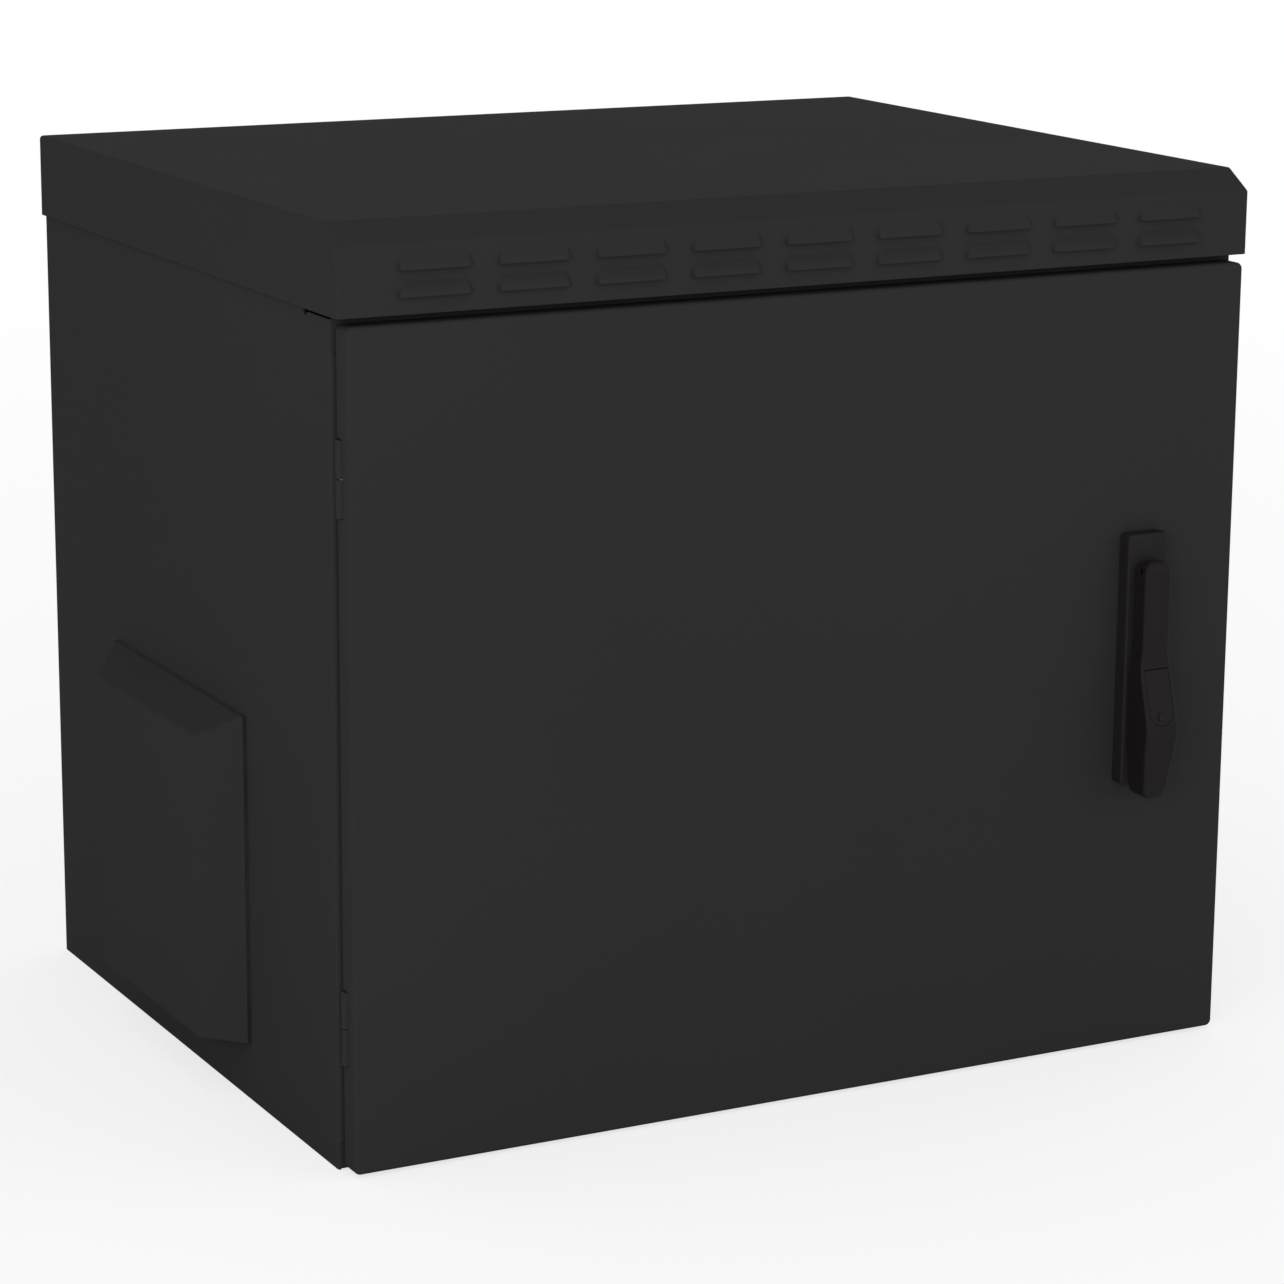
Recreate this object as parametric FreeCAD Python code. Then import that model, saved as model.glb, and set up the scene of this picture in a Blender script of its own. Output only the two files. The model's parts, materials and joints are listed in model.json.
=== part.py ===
"""Wall mount network cabinet: louvred roof cap, plain door with a swing handle, side rain hoods.

Frame: origin at the centre of the four wall fixings, on the wall plane. +Y points into the wall,
+X to the right as seen from the front, +Z up. Millimetres.
"""
import FreeCAD, Part
import math
import os

V = FreeCAD.Vector

# ---- Case ----------------------------------------------------------------------------------------
body_width = 600.0          # over the side panels
body_depth = 460.0          # front edge of the side panels to the outer face of the rear panel
body_height = 507.0         # underside to the top panel, under the roof cap
sheet = 1.5                 # sheet of the case, door and roof
bend = 1.0                  # inside radius of a fold
wall_gap = 8.0              # the wall rails hold the rear panel this far off the wall
rear_flange = 12.0          # the rear panel's side flanges, turned forward
frame_width = 16.0          # front return beside and below the door opening
lintel = 32.0               # front return above the door opening
rim_height = 9.7            # rain rim round the opening, which bites into the door gasket
seam = 0.3                  # clearance between pieces that meet but don't press

# ---- Roof cap ------------------------------------------------------------------------------------
roof_rise = 39.5            # top of the roof above the top panel
roof_lap = 11.5             # the roof flanges hang this far below the top panel
roof_rear = 5.0             # overhang behind the rear panel
visor = 14.0                # overhang in front of the case
chamfer_depth = 19.6        # front edge of the roof
chamfer_drop = 12.0
slot_gap = 2.0              # slot between the visor cheek and the side panel
slot_depth = 34.0
relief_radius = 3.0         # round end of that slot

louvre_count = 9
louvre_rows = 2
louvre_pitch = 60.8
louvre_row_pitch = 15.0
louvre_length = 44.0
louvre_height = 8.5
louvre_lift = 4.0           # how far a louvre stands out
louvre_lip = 2.0            # straight part of its lower edge
louvre_shoulder = 2.5       # bend between the lip and the sloping back
louvre_wall = 1.0
louvre_end_round = 3.2
louvre_foot = 10.0          # lowest louvre edge above the bottom of the roof flange
bracket_width = 30.0
bracket_foot = 12.0
bracket_inset = 90.0        # bracket centre inside the side plane of the case
bracket_end = 60.0          # bracket ends inside the case front and rear
bracket_screw_inset = 20.0
screw_tail = 3.0            # bare end of a screw beyond what it holds

# ---- Door ----------------------------------------------------------------------------------------
door_thick = 15.0
door_gap = 2.5              # case front to the back edge of the door
door_side_gap = 2.7         # door narrower than the case, each side
door_foot = 1.5             # door bottom above the underside
door_visor_gap = 4.5        # door top below the roof flange
door_lip = 8.0              # inward return along the back edge of the door
door_corner = 4.0
gasket_width = 10.0
gasket_corner = 6.0         # outer corners of the door gasket

hinge_inset = 4.7           # hinge axis behind the side plane of the case
hinge_reach = 5.0           # hinge axis in front of the case
hinge_height = 44.0
hinge_from_end = 85.5       # hinge centre to the nearer end of the door
knuckle_radius = 4.0
pin_radius = 2.5
running = 0.05              # radial clearance of a turning fit
leaf_thick = 2.0
leaf_reach = 9.0            # frame leaf beyond the hinge axis
hinge_play = 0.5            # gap between the two knuckles, and round them

# ---- Handle --------------------------------------------------------------------------------------
handle_from_edge = 69.3     # handle centre line to the free edge of the door
base_width = 28.5
base_height = 157.5
base_thick = 10.0
base_corner = 3.0
base_edge = 1.5
base_screw_inset = 14.0     # lowest handle screw above the foot of the base
base_skin = 4.0             # left in front of the handle screws
base_lift = 5.45            # handle base centre above the middle of the door
spindle_from_top = 27.5     # spindle to the top of the handle base
pivot_above_spindle = 6.0   # lever pivot pin
head_radius = 6.5
shaft_play = 1.5            # round the shaft where it passes through the door and the gear case
pivot_pin_radius = 2.0
lug_width = 10.0
lug_shoulder = 2.5          # the back of the lug stops this far below the pivot, so the lever can lift
lever_thick = 11.7
lever_width = 19.0
grip_width = 23.0
grip_bulge = 11.0           # the grip stands out this far beyond the upper lever
grip_top = 58.0             # below the pivot, where the bulge starts
grip_crown = 97.0           # below the pivot, its highest point
lever_length = 142.0        # pivot to the lower end
lever_wall = 2.5
lever_edge = 1.5
lever_corner = 7.0          # top corners
lever_foot_corner = 6.0     # bottom corners
lever_end_round = 3.0
grip_end_bulge = 3.3        # bulge left at the lower end
grip_foot_round = 20.0
grip_crown_round = 30.0
grip_waist = 12.0           # the sides start to taper this far below the crown
grip_waist_round = 20.0
arm_foot = 4.0              # the hollow of the upper lever ends this far above the grip
pin_inset = 1.2             # ends of the pivot pin below the sides of the lever
grip_taper = 4.0            # each side, from the crown to the lower end
shoulder_run = 8.0          # half the height over which the lever widens into the grip
shoulder_round = 12.0
cover_width = 17.0
cover_share = 0.86          # length of the cover as a share of the sloping face
cover_thick = 1.6
cylinder_radius = 6.5
cylinder_length = 13.0
cylinder_floor = 3.0
plug_radius = 4.5
key_width = 1.2
key_height = 6.4
key_depth = 5.0

# ---- Lock gear -----------------------------------------------------------------------------------
gear_module = 1.5
gear_teeth = 12
gear_angle = 25.0           # pressure angle, degrees
gear_thick = 6.0
root_depth = 1.25           # tooth depth below the pitch line, in modules
gear_play = 0.4             # round the moving pieces in the gear case and the guides
tooth_play = 0.12           # taken off each rack tooth flank
case_width = 48.0
case_height = 54.0
case_depth = 18.0
case_wall = 2.0
case_round = 3.0
case_end = 12.0             # solid ends of the gear case, where its screws pass
case_screw_inset = 7.0
spindle_side = 8.0
rod_width = 8.0
rod_thick = 5.0
rod_end_round = 3.0
rack_first = -2             # first and last tooth gap of the racks, counted from the spindle
rack_last = 4
rod_end_gap = 1.0           # rod end short of the rain rim
rod_seal_gap = 0.7          # rods behind the front edge of the rain rim
guide_from_end = 45.0       # rod guide centre to the rain rim
guide_wall = 5.0
guide_cover = 3.5
guide_height = 12.0
guide_round = 2.5
screw_radius = 2.5
screw_head_radius = 4.5
screw_head = 3.0

# ---- 19-inch rails -------------------------------------------------------------------------------
unit = 44.45
hole_offsets = (6.35, 22.225, 38.1)
rack_hole = 9.5             # square hole for a cage nut
rack_hole_centres = 465.1   # across the rack
rack_opening = 450.0
rail_flange = 22.0
rail_web = 34.0
rail_sheet = 2.0
rail_end = 20.0             # least length of rail beyond the top and bottom unit
rail_clear = 4.5            # rail ends inside the door opening
rail_setback = 62.0         # front rails behind the case front
rear_rail_setback = 330.0
bar_foot = 18.0
bar_setback = 25.0          # ends of the depth bars from the case front and the rear panel
bolt_radius = 3.0
bolt_play = 0.3
nut_height = 5.0
nut_flats = 10.0
bolt_head = 4.0
bolt_tail = 2.0             # thread beyond the nut

# ---- Vents and hoods -----------------------------------------------------------------------------
hood_setback = 131.0        # front edge of the hood behind the case front
hood_depth = 214.0
hood_foot = 36.0            # lower edge above the underside
hood_height = 203.0
hood_out = 22.0
hood_side_slope = 25.0      # how far the front and rear bevels run in
hood_top_slope = 16.0
hood_flange = 12.0
hood_screw_pitch = 120.0
hood_seal = 2.0
vent_slot = 62.0
vent_slot_width = 6.0
vent_rows = 8
vent_columns = 2
vent_pitch = 17.0
vent_gap = 14.0             # metal left between two slots in a row
top_vent_columns = 5
top_vent_slot = 50.0
top_vent_width = 12.0
top_vent_pitch = 68.0
top_vent_row_gap = 34.0
top_vent_setback = 253.0
filter_thick = 10.0
filter_margin = 8.0         # filter mat beyond the vent field
filter_sheet = 1.2
filter_flange = 10.0
filter_cells = 3            # windows each way in the filter frame

# ---- Cable entry, wall fixing, earth ---------------------------------------------------------------
entry_width = 300.0
entry_depth = 80.0
entry_setback = 60.0        # rear edge of the cut-out in front of the rear panel
entry_corner = 6.0
plate_lap = 16.0            # gland plate beyond the cut-out
plate_corner = 5.0
plate_seal = 2.0
grommet_count = 4
grommet_pitch = 68.0
grommet_hole = 17.0         # radius of the hole in the gland plate
grommet_bore = 10.0
grommet_lip = 4.0
grommet_lip_thick = 2.0
grommet_squeeze = 0.2       # the groove stays this far inside the hole
grommet_cone = 9.0
fixing_width = 500.0
fixing_height = 400.0
fixing_radius = 5.0
wall_rail_end = 30.0        # wall rail beyond its fixing holes
wall_rail_crown = 30.0
wall_rail_foot = 12.0
earth_radius = 4.0
earth_length = 22.0
earth_inset = 60.0
earth_nut_flats = 13.0
earth_nut_height = 6.5

# ---- Places that follow from the sizes -------------------------------------------------------------
floor_z = -body_height / 2
top_z = floor_z + body_height
rear_y = -wall_gap
front_y = rear_y - body_depth
side_x = body_width / 2
inner_x = side_x - sheet
rim_x = side_x - frame_width
rim_low = floor_z + frame_width
rim_high = top_z - lintel
rim_y = front_y - rim_height

roof_low = top_z - roof_lap
roof_top = top_z + roof_rise
roof_front_y = front_y - visor
roof_rear_y = rear_y + roof_rear
roof_x = side_x + seam + sheet

door_x = side_x - door_side_gap
door_low = floor_z + door_foot
door_high = roof_low - door_visor_gap
door_back_y = front_y - door_gap
door_front_y = door_back_y - door_thick
door_skin_y = door_front_y + sheet
door_mid_z = (door_low + door_high) / 2

hinge_x = -side_x + hinge_inset
hinge_y = front_y - hinge_reach
hinge_zs = {"lower": door_low + hinge_from_end, "upper": door_high - hinge_from_end}

handle_x = door_x - handle_from_edge
base_mid_z = door_mid_z + base_lift
base_y = door_front_y - base_thick
spindle_z = base_mid_z + base_height / 2 - spindle_from_top
pivot_z = spindle_z + pivot_above_spindle
lever_back_y = base_y - seam
pivot_y = lever_back_y - lever_thick / 2
lever_front_y = lever_back_y - lever_thick
lever_low = pivot_z - lever_length
facet_tilt = math.atan2(grip_bulge, grip_crown - grip_top)

gear_y = rim_y + rod_seal_gap + rod_thick / 2
pitch_radius = gear_module * gear_teeth / 2
tooth_pitch = math.pi * gear_module

rail_x = rack_opening / 2
rail_web_x = rail_x + rail_flange
rack_mid_z = (rim_low + rim_high) / 2
rail_half = (rim_high - rim_low) / 2 - rail_clear
rack_units = int(2 * (rail_half - rail_end) // unit)
bar_z = rail_half - bar_foot / 2 - rail_sheet
front_rail_y = front_y + rail_setback
rear_rail_y = front_y + rear_rail_setback
wall_rail_length = fixing_width + 2 * wall_rail_end

parts = {}


# ---- Shape helpers -----------------------------------------------------------------------------------
def box(x0, x1, y0, y1, z0, z1):
    return Part.makeBox(x1 - x0, y1 - y0, z1 - z0, V(x0, y0, z0))


def rod(radius, start, end):
    axis = end - start
    return Part.makeCylinder(radius, axis.Length, start, axis)


def drill(radius, centre, half):
    """Round cutter through centre, reaching by the vector half to each side."""
    return rod(radius, centre - half, centre + half)


def join(shapes):
    first, rest = shapes[0], shapes[1:]
    return first.multiFuse(rest).removeSplitter() if rest else first


def mirrored(shape):
    return shape.mirror(V(0, 0, 0), V(1, 0, 0))


def in_plan(z):
    """Outline drawn in plan (x, y)."""
    return lambda u, v: V(u, v, z)


def in_side(x):
    """Outline drawn from the side (y, z)."""
    return lambda u, v: V(x, u, v)


def in_front(y):
    """Outline drawn from the front (x, z)."""
    return lambda u, v: V(u, y, v)


def outline(corners, at):
    """Closed face through (u, v, radius) corners, each rounded by its radius."""
    stops = []
    for i, (u, v, radius) in enumerate(corners):
        here = V(u, v, 0)
        back = (V(*corners[i - 1][:2], 0) - here).normalize()
        ahead = (V(*corners[(i + 1) % len(corners)][:2], 0) - here).normalize()
        half = back.getAngle(ahead) / 2
        cut = radius / math.tan(half)
        middle = here + (back + ahead).normalize() * (radius / math.sin(half) - radius)
        stops.append([at(p.x, p.y) for p in (here + back * cut, middle, here + ahead * cut)])
    edges = []
    for i, (start, middle, end) in enumerate(stops):
        if corners[i][2] > 0:
            edges.append(Part.Arc(start, middle, end).toShape())
        following = stops[(i + 1) % len(stops)][0]
        if end.distanceToPoint(following) > 1e-6:
            edges.append(Part.LineSegment(end, following).toShape())
    return Part.Face(Part.Wire(edges))


def folded(path, at, along, thick=sheet, inside=bend):
    """Folded sheet: path is its outer face as (u, v) points, the thickness lies on the path's right."""
    points = [V(u, v, 0) for u, v in path]
    runs = [(b - a).normalize() for a, b in zip(points, points[1:])]
    rights = [V(d.y, -d.x, 0) for d in runs]
    near, far = [(points[0], 0.0)], [(points[0] + rights[0] * thick, 0.0)]
    for i in range(1, len(points) - 1):
        turn = runs[i - 1].x * runs[i].y - runs[i - 1].y * runs[i].x
        spread = (rights[i - 1] + rights[i]) * (thick / (1 + rights[i - 1].dot(rights[i])))
        to_right = turn < 0
        near.append((points[i], inside + thick if to_right else inside))
        far.append((points[i] + spread, inside if to_right else inside + thick))
    near.append((points[-1], 0.0))
    far.append((points[-1] + rights[-1] * thick, 0.0))
    corners = [(p.x, p.y, r) for p, r in near + far[::-1]]
    return outline(corners, at).extrude(along)


def slot_cutter(length, width, centre, along, through):
    """Round-ended slot: a bar between two cylinders, along one axis and through another."""
    reach = along * ((length - width) / 2)
    ends = [drill(width / 2, centre + side * reach, through / 2) for side in (-1, 1)]
    across = along.cross(through).normalize() * (width / 2)
    corner = centre - reach - across - through / 2
    bar = Part.Face(Part.makePolygon([corner, corner + reach * 2, corner + reach * 2 + across * 2,
                                      corner + across * 2, corner])).extrude(through)
    return join([bar] + ends)


def hexagon(flats, base, axis):
    """Hexagonal prism of the given width across flats, standing on base along axis."""
    side = V(0, 0, 1) if abs(axis.z) < abs(axis.x) + abs(axis.y) else V(1, 0, 0)
    cross = axis.cross(side).normalize()
    radius = flats / math.sqrt(3)
    ring = [base + (side * math.cos(a) + cross * math.sin(a)) * radius
            for a in (math.radians(60 * k) for k in range(7))]
    return Part.Face(Part.makePolygon(ring)).extrude(axis)


def screw(seat, axis, shank, head_radius=screw_head_radius, head=screw_head, radius=screw_radius):
    """Pan-head screw: the head stands on seat along axis, the shank goes the other way."""
    side = head / 2
    rim = rod(head_radius, seat, seat + axis * side)
    crown = Part.makeCone(head_radius, head_radius - side, side, seat + axis * side, axis)
    drive = hexagon(radius, seat + axis * side, axis * head)
    return join([rim, crown, rod(radius, seat - axis * shank, seat)]).cut(drive)


def rounded(shape, radius, chosen):
    """Fillet the edges that chosen picks."""
    return shape.makeFillet(radius, [e for e in shape.Edges if chosen(e)])


# ---- Case --------------------------------------------------------------------------------------------
top_vent_y = front_y + top_vent_setback
vent_mid_y = front_y + hood_setback + hood_depth / 2
vent_mid_z = floor_z + hood_foot + (hood_height - hood_top_slope) / 2 + hood_flange / 2
vent_field_depth = vent_columns * vent_slot + (vent_columns - 1) * vent_gap
vent_field_height = (vent_rows - 1) * vent_pitch + vent_slot_width


def bar_places():
    """Foot of each depth bar: centre height and the side of its shelf (+1 above the foot)."""
    return (("lower", rack_mid_z - bar_z, -1), ("upper", rack_mid_z + bar_z, 1))


def stud_ys():
    return (front_y + 2 * bar_setback, rear_y - 2 * bar_setback)


def side_panel():
    """Left side: web, front return and rain rim in one sheet."""
    path = [(-rim_x, rim_y), (-rim_x, front_y), (-side_x, front_y), (-side_x, rear_y)]
    panel = folded(path, in_plan(floor_z), V(0, 0, body_height))
    for low, high in ((floor_z, rim_low), (rim_high, top_z)):
        panel = panel.cut(box(-inner_x, 0, rim_y - 1, front_y + sheet + bend, low, high))
    panel = panel.cut(box(-side_x - 1, 0, rim_y - 1, front_y + slot_depth, roof_low - slot_gap, top_z + 1))
    middle = V(-side_x, front_y + slot_depth, roof_low - slot_gap / 2)
    panel = panel.cut(rod(relief_radius, middle - V(1, 0, 0), middle + V(sheet + 1, 0, 0)))
    for row in range(vent_rows):
        for column in range(vent_columns):
            y = vent_mid_y + (column - (vent_columns - 1) / 2) * (vent_slot + vent_gap)
            z = vent_mid_z + (row - (vent_rows - 1) / 2) * vent_pitch
            panel = panel.cut(slot_cutter(vent_slot, vent_slot_width, V(-side_x + sheet / 2, y, z),
                                          V(0, 1, 0), V(4 * sheet, 0, 0)))
    for y, z in hood_screw_places():
        panel = panel.cut(rod(screw_radius + bolt_play, V(-side_x - 1, y, z), V(-inner_x + 1, y, z)))
    return panel


def rear_panel():
    """Flat back with flanges turned forward along the side panels."""
    flange_y = rear_y - sheet - rear_flange
    path = [(-inner_x, flange_y), (-inner_x, rear_y), (inner_x, rear_y), (inner_x, flange_y)]
    panel = folded(path, in_plan(floor_z + sheet), V(0, 0, body_height - 2 * sheet))
    for x, z in fixing_places():
        panel = panel.cut(rod(fixing_radius, V(x, rear_y - sheet - 1, z), V(x, rear_y + 1, z)))
    return panel


def base_panel():
    """Underside with its front return and rain rim, and the cut-out for the gland plate."""
    path = [(rear_y, floor_z), (front_y, floor_z), (front_y, rim_low), (rim_y, rim_low)]
    panel = folded(path, in_side(-inner_x), V(2 * inner_x, 0, 0))
    panel = trim_rim(panel, rim_low, rim_low + sheet + bend)
    y1 = rear_y - entry_setback
    half, y0 = entry_width / 2, y1 - entry_depth
    cutout = outline([(x, y, entry_corner) for x, y in ((-half, y0), (half, y0), (half, y1), (-half, y1))],
                     in_plan(floor_z - 1))
    panel = panel.cut(cutout.extrude(V(0, 0, sheet + 2)))
    for x, y in plate_screw_places():
        panel = panel.cut(rod(screw_radius + bolt_play, V(x, y, floor_z - 1), V(x, y, floor_z + sheet + 1)))
    return panel


def top_panel():
    """Top under the roof cap, with vent slots and the lintel over the door."""
    path = [(rim_y, rim_high), (front_y, rim_high), (front_y, top_z), (rear_y, top_z)]
    panel = folded(path, in_side(-inner_x), V(2 * inner_x, 0, 0))
    panel = trim_rim(panel, rim_high - sheet - bend, rim_high)
    for row in (-0.5, 0.5):
        for column in range(top_vent_columns):
            x = (column - (top_vent_columns - 1) / 2) * top_vent_pitch
            centre = V(x, top_vent_y + row * top_vent_row_gap, top_z - sheet / 2)
            panel = panel.cut(slot_cutter(top_vent_slot, top_vent_width, centre,
                                          V(1, 0, 0), V(0, 0, 4 * sheet)))
    for x, y in roof_screw_places():
        panel = panel.cut(rod(screw_radius + bolt_play, V(x, y, top_z - sheet - 1), V(x, y, top_z + 1)))
    return panel


def trim_rim(panel, low, high):
    """The rim of the top and base stops between the rims of the side panels."""
    for sign in (-1, 1):
        xs = sorted((sign * (rim_x - sheet), sign * side_x))
        panel = panel.cut(box(*xs, rim_y - 1, front_y + sheet + bend, low, high))
    return panel


def wall_rail(z):
    """Top-hat rail on the rear panel: its crown is the face that lies on the wall."""
    half = wall_rail_crown / 2
    path = [(rear_y + sheet, z - half - wall_rail_foot), (rear_y + sheet, z - half), (0, z - half),
            (0, z + half), (rear_y + sheet, z + half), (rear_y + sheet, z + half + wall_rail_foot)]
    rail = folded(path[::-1], in_side(-wall_rail_length / 2), V(wall_rail_length, 0, 0))
    for x in (-fixing_width / 2, fixing_width / 2):
        rail = rail.cut(rod(fixing_radius, V(x, -sheet - 1, z), V(x, 1, z)))
    return rail


def fixing_places():
    return [(x, z) for x in (-fixing_width / 2, fixing_width / 2)
            for z in (-fixing_height / 2, fixing_height / 2)]


# ---- Roof --------------------------------------------------------------------------------------------
bracket_height = roof_rise - sheet
bracket_x = side_x - bracket_inset


def roof_section(inset):
    """Side view of the roof cap, without its open underside."""
    rear, front, top = roof_rear_y - inset, roof_front_y + inset, roof_top - inset
    low = roof_low - (1 if inset else 0)
    slope = math.atan2(chamfer_drop, chamfer_depth)
    shift = inset * math.tan(slope / 2)
    drop_shift = inset * math.tan((math.pi / 2 - slope) / 2)
    fold = bend + sheet - inset
    return [(rear, low, 0), (rear, top, fold), (roof_front_y + chamfer_depth + shift, top, fold),
            (front, roof_top - chamfer_drop - drop_shift, fold), (front, low, 0)]


def louvre(x, z):
    """Pressed louvre: its skin and the space inside it, which opens downwards and into the roof."""
    y = roof_front_y
    corners = [(y + sheet / 2, z, 0), (y - louvre_lift, z, 0),
               (y - louvre_lift, z + louvre_lip, louvre_shoulder),
               (y, z + louvre_height, 0), (y + sheet / 2, z + louvre_height, 0)]
    start = x - louvre_length / 2
    skin = outline(corners, in_side(start)).extrude(V(louvre_length, 0, 0))
    ends = (start, start + louvre_length)
    skin = rounded(skin, louvre_end_round,
                   lambda e: min(abs(e.BoundBox.XMin - s) + abs(e.BoundBox.XMax - s) for s in ends) < 1e-3
                   and e.BoundBox.YMax < y + 1e-3 and e.BoundBox.ZMax > z + 1e-3)
    front, top = y - louvre_lift + louvre_wall, z + louvre_height - sheet
    corners = [(y + 2 * sheet, z, 0), (front, z, 0), (front, z + louvre_lip - louvre_wall / 2, 0),
               (y, top, 0), (y + 2 * sheet, top, 0)]
    hollow_length = louvre_length - 2 * louvre_end_round
    hollow = outline(corners, in_side(start + louvre_end_round)).extrude(V(hollow_length, 0, 0))
    return skin, hollow


def roof_cap():
    """Cap with a chamfered front edge, flanges all round and two rows of louvres in the front flange."""
    outer = outline(roof_section(0), in_side(-roof_x)).extrude(V(2 * roof_x, 0, 0))
    outer = rounded(outer, bend + sheet,
                    lambda e: abs(abs(e.BoundBox.Center.x) - roof_x) < 1e-3
                    and e.BoundBox.ZMin > roof_low + 1 and e.BoundBox.YLength > chamfer_depth / 2)
    inner_half = roof_x - sheet
    inner = outline(roof_section(sheet), in_side(-inner_half)).extrude(V(2 * inner_half, 0, 0))
    cap = outer.cut(inner)
    skins, hollows = [], []
    for row in range(louvre_rows):
        for k in range(louvre_count):
            x = (k - (louvre_count - 1) / 2) * louvre_pitch
            skin, hollow = louvre(x, roof_low + louvre_foot + row * louvre_row_pitch)
            skins.append(skin)
            hollows.append(hollow)
    return cap.multiFuse(skins).cut(Part.makeCompound(hollows))


def roof_bracket():
    """Top-hat bracket between the top panel and the roof cap."""
    half, foot = bracket_width / 2, bracket_foot
    y0, y1 = front_y + bracket_end, rear_y - bracket_end
    crown = top_z + bracket_height
    path = [(bracket_x - half - foot, top_z + sheet), (bracket_x - half, top_z + sheet),
            (bracket_x - half, crown), (bracket_x + half, crown), (bracket_x + half, top_z + sheet),
            (bracket_x + half + foot, top_z + sheet)]
    bracket = folded(path, lambda u, v: V(u, y0, v), V(0, y1 - y0, 0))
    for x, y in roof_screw_places():
        bracket = bracket.cut(rod(screw_radius, V(x, y, top_z - 1), V(x, y, top_z + sheet + 1)))
    return bracket


def roof_screw_places():
    foot_x = bracket_x + bracket_width / 2 + bracket_foot / 2
    inset = bracket_end + bracket_screw_inset
    return [(sign * foot_x, y) for sign in (-1, 1) for y in (front_y + inset, rear_y - inset)]


# ---- Side vents --------------------------------------------------------------------------------------
hood_y0 = front_y + hood_setback
hood_y1 = hood_y0 + hood_depth
hood_z0 = floor_z + hood_foot
hood_z1 = hood_z0 + hood_height
hood_base_x = -side_x - hood_seal


def hood_screw_places():
    inset = hood_flange / 2
    middle = (hood_z0 + hood_z1) / 2
    half = hood_screw_pitch / 2
    return [(y, z) for y in (hood_y0 + inset, hood_y1 - inset) for z in (middle - half, middle + half)]


def hood_form(inset, low):
    """Solid under the hood's skin: vertical-sided rectangle at the panel, smaller one outside."""
    root = hood_base_x
    face = root - hood_out + inset
    frames = []
    for x, run, drop in ((root, 0.0, 0.0), (face, hood_side_slope, hood_top_slope)):
        y0, y1, z1 = hood_y0 + inset + run, hood_y1 - inset - run, hood_z1 - inset - drop
        ring = [V(x, y, z) for y, z in ((y0, low), (y1, low), (y1, z1), (y0, z1), (y0, low))]
        frames.append(Part.makePolygon(ring))
    return Part.makeLoft(frames, True, True)


def collar(thick_from, thick_to, width):
    """Flat strip along the top, front and rear edges of the hood, open at the bottom."""
    plate = box(thick_from, thick_to, hood_y0, hood_y1, hood_z0, hood_z1)
    return plate.cut(box(thick_from - 1, thick_to + 1, hood_y0 + width, hood_y1 - width,
                         hood_z0 - 1, hood_z1 - width))


def vent_hood():
    """Bevelled rain hood, open below, with a mounting flange turned in at the panel."""
    skin = hood_form(0, hood_z0)
    skin = rounded(skin, bend + sheet,
                   lambda e: e.BoundBox.XMin < hood_base_x - hood_out / 2 and e.BoundBox.ZMax > hood_z0 + 1
                   and e.BoundBox.XMin < hood_base_x - 1)
    shell = skin.cut(hood_form(sheet, hood_z0 - 1))
    flange = collar(hood_base_x - sheet, hood_base_x, hood_flange)
    hood = shell.fuse(flange.common(hood_form(0, hood_z0)))
    for y, z in hood_screw_places():
        hood = hood.cut(rod(screw_radius, V(hood_base_x - sheet - 1, y, z), V(hood_base_x + 1, y, z)))
    return hood.removeSplitter()


def hood_gasket():
    strip = collar(hood_base_x, -side_x, hood_flange)
    for y, z in hood_screw_places():
        strip = strip.cut(rod(screw_radius + bolt_play, V(hood_base_x - 1, y, z), V(-side_x + 1, y, z)))
    return strip


def filter_mat():
    half_y = vent_field_depth / 2 + filter_margin
    half_z = vent_field_height / 2 + filter_margin
    return box(-inner_x, -inner_x + filter_thick, vent_mid_y - half_y, vent_mid_y + half_y,
               vent_mid_z - half_z, vent_mid_z + half_z)


def filter_frame():
    """Tray that holds the mat against the panel: a flange, four walls and a barred window."""
    half_y = vent_field_depth / 2 + filter_margin
    half_z = vent_field_height / 2 + filter_margin
    wall_y, wall_z = half_y + filter_sheet, half_z + filter_sheet
    face_x = -inner_x + filter_thick + filter_sheet
    tray = box(-inner_x, face_x, vent_mid_y - wall_y, vent_mid_y + wall_y,
               vent_mid_z - wall_z, vent_mid_z + wall_z)
    tray = rounded(tray, bend, lambda e: abs(e.BoundBox.XMax - face_x) < 1e-6 and e.BoundBox.XLength < 1e-6)
    tray = tray.cut(box(-inner_x - 1, face_x - filter_sheet, vent_mid_y - half_y, vent_mid_y + half_y,
                        vent_mid_z - half_z, vent_mid_z + half_z))
    flange = box(-inner_x, -inner_x + filter_sheet, vent_mid_y - wall_y - filter_flange,
                 vent_mid_y + wall_y + filter_flange, vent_mid_z - wall_z, vent_mid_z + wall_z)
    flange = flange.cut(box(-inner_x - 1, 0, vent_mid_y - half_y, vent_mid_y + half_y,
                            vent_mid_z - half_z, vent_mid_z + half_z))
    tray = tray.fuse(flange)
    cell_y = (2 * half_y - filter_margin) / filter_cells
    cell_z = (2 * half_z - filter_margin) / filter_cells
    for i in range(filter_cells):
        for j in range(filter_cells):
            y = vent_mid_y - half_y + filter_margin + i * cell_y
            z = vent_mid_z - half_z + filter_margin + j * cell_z
            tray = tray.cut(box(face_x - 2 * filter_sheet, face_x + 1, y, y + cell_y - filter_margin,
                                z, z + cell_z - filter_margin))
    return tray


# ---- Cable entry -------------------------------------------------------------------------------------
entry_y = rear_y - entry_setback - entry_depth / 2
plate_z = floor_z + sheet + plate_seal


def plate_screw_places():
    half_x = entry_width / 2 + plate_lap / 2
    half_y = entry_depth / 2 + plate_lap / 2
    return [(x, entry_y + sy * half_y) for x in (-half_x, 0.0, half_x) for sy in (-1, 1)]


def grommet_xs():
    return [(k - (grommet_count - 1) / 2) * grommet_pitch for k in range(grommet_count)]


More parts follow.
